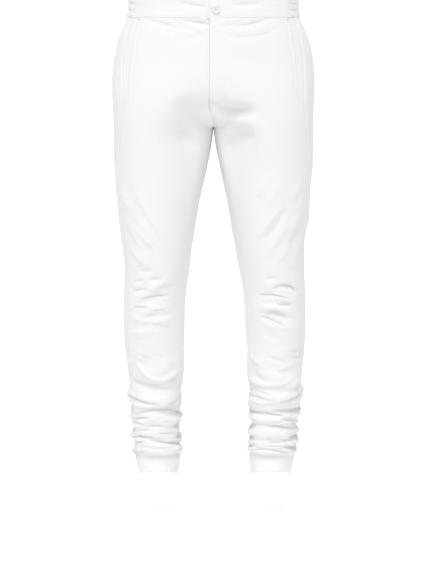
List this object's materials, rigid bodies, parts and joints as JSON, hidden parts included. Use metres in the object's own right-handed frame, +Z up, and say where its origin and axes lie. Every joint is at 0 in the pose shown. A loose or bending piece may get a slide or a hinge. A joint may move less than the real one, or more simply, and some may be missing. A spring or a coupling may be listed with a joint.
{
  "type": "churidar pants",
  "caption": "Slim white cotton churidar pants in worn form, with a button and fly front, an elasticated back waist, side pockets and rolls of spare cloth gathered above the ankles.",
  "frame": {"origin": "middle of the waist opening, half way up the waistband", "axes": "+Z up from ankles to waist, -Y to the wearer's front, +X to the wearer's left"},
  "size_m": [0.3974, 0.2715, 0.9675],
  "materials": {
    "cotton": "matte white cotton twill with a slight stretch",
    "band_cotton": "matte white cotton twill, two layers over an interlining",
    "elasticated_cotton": "matte white cotton twill gathered on elastic",
    "button_resin": "white resin, satin"
  },
  "bodies": {
    "root": {"front_right": "cotton", "front_left": "cotton", "back_right": "cotton", "back_left": "cotton", "waistband_front_right": "band_cotton", "waistband_front_left": "band_cotton", "waistband_back": "elasticated_cotton", "fly_placket": "cotton", "pocket_facing_right": "cotton", "pocket_facing_left": "cotton", "button": "button_resin"}
  },
  "joints": []
}
